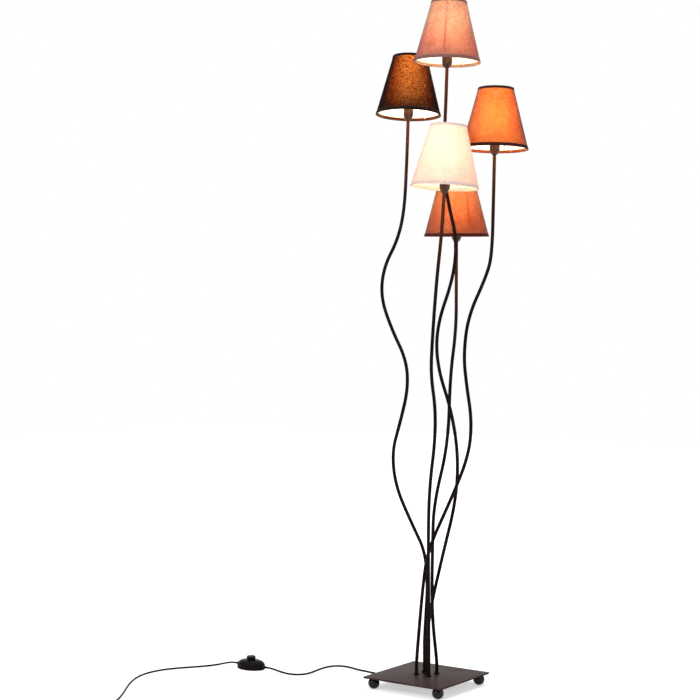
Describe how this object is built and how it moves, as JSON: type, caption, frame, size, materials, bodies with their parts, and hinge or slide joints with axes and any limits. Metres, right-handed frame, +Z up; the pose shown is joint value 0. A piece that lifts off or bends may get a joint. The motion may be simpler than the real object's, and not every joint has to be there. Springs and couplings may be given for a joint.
{
  "type": "tree floor lamp",
  "caption": "Floor lamp with wavy bent tube stems on a square plate, a small cone shade on each stem, and a foot switch on its mains lead.",
  "frame": {"origin": "on the floor, under the middle of the lamp's outline seen from above", "axes": "+Z up; X and Y along the base plate's edges; the mains lead leaves towards -X"},
  "size_m": [0.8342, 0.9282, 1.5892],
  "materials": {
    "satin_paint": "satin dark brown powder coat",
    "stem_paint": "satin dark brown powder coat",
    "bronze": "dark bronzed brass, satin",
    "black_gloss": "glossy black",
    "cord_rubber": "smooth black",
    "lead_sheath": "smooth white sheath",
    "block": "cream moulding",
    "zinc": "zinc-plated steel",
    "brass": "bright brass",
    "white_plastic": "white heat-proof plastic",
    "white_wire": "white powder coat",
    "bulb_glass": "frosted opal",
    "cloth_pink": "slub cloth, salmon pink",
    "cloth_black": "linen weave, black",
    "cloth_orange": "slub cloth, orange",
    "cloth_cream": "slub cloth, cream white"
  },
  "bodies": {
    "stand": {"base_plate": "satin_paint", "ball_foot_left": "black_gloss", "ball_foot_front": "black_gloss", "ball_foot_right": "black_gloss", "ball_foot_back": "black_gloss", "foot_studs": "zinc", "stem_collars": "satin_paint", "stem_nuts": "zinc", "wiring_box": "satin_paint", "wiring_box_screws": "zinc", "terminal_block": "block", "inner_leads": "lead_sheath", "cord_grip": "cord_rubber", "cord_to_switch": "cord_rubber", "cord_to_coil": "cord_rubber", "cord_coil": "cord_rubber", "plug_body": "cord_rubber", "plug_pins": "brass", "switch_base": "black_gloss", "switch_cover": "black_gloss", "switch_works": "block", "switch_spring": "zinc", "switch_screws": "zinc", "holder_contacts": "brass", "stem_top": "stem_paint", "holder_cap_top": "bronze", "holder_top": "white_plastic", "shade_ring_top": "white_plastic", "stem_left": "stem_paint", "holder_cap_left": "bronze", "holder_left": "white_plastic", "shade_ring_left": "white_plastic", "stem_right": "stem_paint", "holder_cap_right": "bronze", "holder_right": "white_plastic", "shade_ring_right": "white_plastic", "stem_front": "stem_paint", "holder_cap_front": "bronze", "holder_front": "white_plastic", "shade_ring_front": "white_plastic", "stem_lower": "stem_paint", "holder_cap_lower": "bronze", "holder_lower": "white_plastic", "shade_ring_lower": "white_plastic"},
    "shade_top": {"shade_cover_top": "cloth_pink", "shade_frame_top": "white_wire"},
    "bulb_top": {"bulb_top": "bulb_glass"},
    "shade_left": {"shade_cover_left": "cloth_black", "shade_frame_left": "white_wire"},
    "bulb_left": {"bulb_left": "bulb_glass"},
    "shade_right": {"shade_cover_right": "cloth_orange", "shade_frame_right": "white_wire"},
    "bulb_right": {"bulb_right": "bulb_glass"},
    "shade_front": {"shade_cover_front": "cloth_cream", "shade_frame_front": "white_wire"},
    "bulb_front": {"bulb_front": "bulb_glass"},
    "shade_lower": {"shade_cover_lower": "cloth_orange", "shade_frame_lower": "white_wire"},
    "bulb_lower": {"bulb_lower": "bulb_glass"},
    "button": {"switch_button": "black_gloss"}
  },
  "joints": [
    {"name": "shade_turn_top", "type": "hinge", "parent": "stand", "child": "shade_top", "pos_m": [0.01052, 0.00335, 1.46799], "axis": [0.0262, 0.0174, 0.9995], "continuous": true},
    {"name": "bulb_out_top", "type": "slide", "parent": "stand", "child": "bulb_top", "axis": [0.0262, 0.0174, 0.9995], "range_m": [0, 0.03]},
    {"name": "shade_turn_left", "type": "hinge", "parent": "stand", "child": "shade_left", "pos_m": [-0.11517, 0.0294, 1.35795], "axis": [-0.0087, 0.0698, 0.9975], "continuous": true},
    {"name": "bulb_out_left", "type": "slide", "parent": "stand", "child": "bulb_left", "axis": [-0.0087, 0.0698, 0.9975], "range_m": [0, 0.03]},
    {"name": "shade_turn_right", "type": "hinge", "parent": "stand", "child": "shade_right", "pos_m": [0.11517, 0.04152, 1.26399], "axis": [0.0087, 0.0262, 0.9996], "continuous": true},
    {"name": "bulb_out_right", "type": "slide", "parent": "stand", "child": "bulb_right", "axis": [0.0087, 0.0262, 0.9996], "range_m": [0, 0.03]},
    {"name": "shade_turn_front", "type": "hinge", "parent": "stand", "child": "shade_front", "pos_m": [0.07287, -0.10295, 1.16895], "axis": [0.0436, 0.0523, 0.9977], "continuous": true},
    {"name": "bulb_out_front", "type": "slide", "parent": "stand", "child": "bulb_front", "axis": [0.0436, 0.0523, 0.9977], "range_m": [0, 0.03]},
    {"name": "shade_turn_lower", "type": "hinge", "parent": "stand", "child": "shade_lower", "pos_m": [-0.02648, 0.1023, 1.07098], "axis": [0.0262, -0.0349, 0.999], "continuous": true},
    {"name": "bulb_out_lower", "type": "slide", "parent": "stand", "child": "bulb_lower", "axis": [0.0262, -0.0349, 0.999], "range_m": [0, 0.03]},
    {"name": "button_press", "type": "slide", "parent": "stand", "child": "button", "axis": [0, 0, -1], "range_m": [0, 0.003], "stiffness_N_per_m": 600, "springref_m": -0.004, "deforming": ["switch_spring"]}
  ]
}
